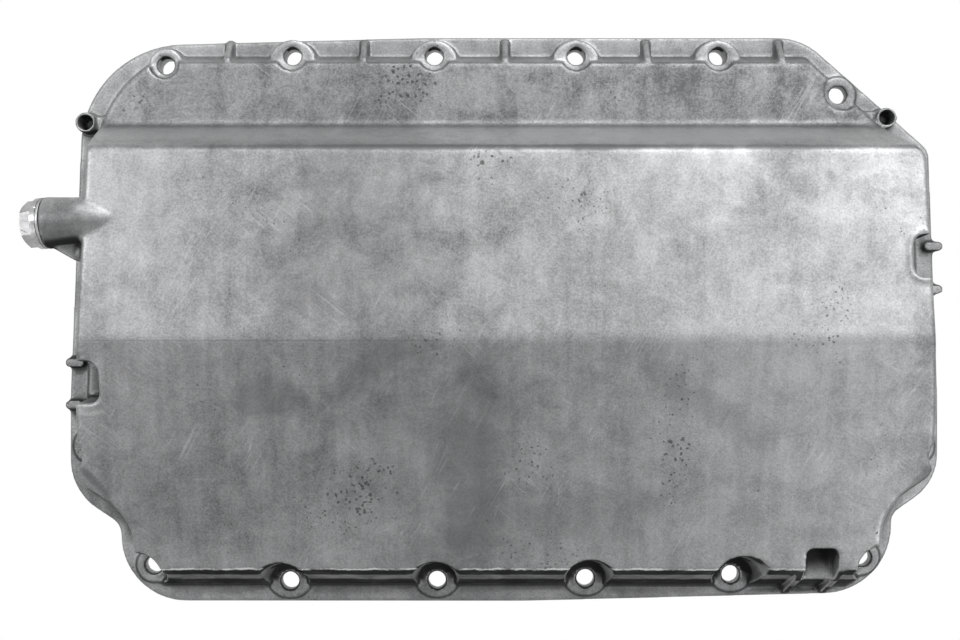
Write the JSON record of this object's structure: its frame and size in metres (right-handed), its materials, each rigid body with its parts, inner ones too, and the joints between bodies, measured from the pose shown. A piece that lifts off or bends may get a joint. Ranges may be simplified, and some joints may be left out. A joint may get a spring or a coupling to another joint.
{
  "type": "engine oil pan",
  "caption": "Shallow cast engine oil pan with a bolted rim, stepped sump, side drain boss, hexagon drain plug and sealing ring.",
  "frame": {"origin": "middle of the mating face that bolts to the engine block", "axes": "+Z out of the block towards the sump bottom, +X away from the drain plug, +Y towards the shallow side"},
  "size_m": [0.4479, 0.2856, 0.0752],
  "materials": {
    "cast_aluminium": "as cast, dull, lightly stained",
    "plated_steel": "bright zinc",
    "soft_aluminium": "plain"
  },
  "bodies": {
    "pan": {"oil_pan": "cast_aluminium"},
    "ring": {"sealing_ring": "soft_aluminium"},
    "plug": {"drain_plug": "plated_steel"}
  },
  "joints": [
    {"name": "ring_slide", "type": "slide", "parent": "pan", "child": "ring", "axis": [-0.9876, -0.0725, -0.1392], "range_m": [0, 0.0125]},
    {"name": "plug_turn", "type": "hinge", "parent": "ring", "child": "plug", "pos_m": [-0.215, 0.0451, 0.0605], "axis": [-0.9876, -0.0725, -0.1392], "range_deg": [0, 3001]}
  ],
  "couplings": [
    {"joint": "plug_turn", "follows": "ring_slide", "rad_per_m": 4188.8}
  ]
}
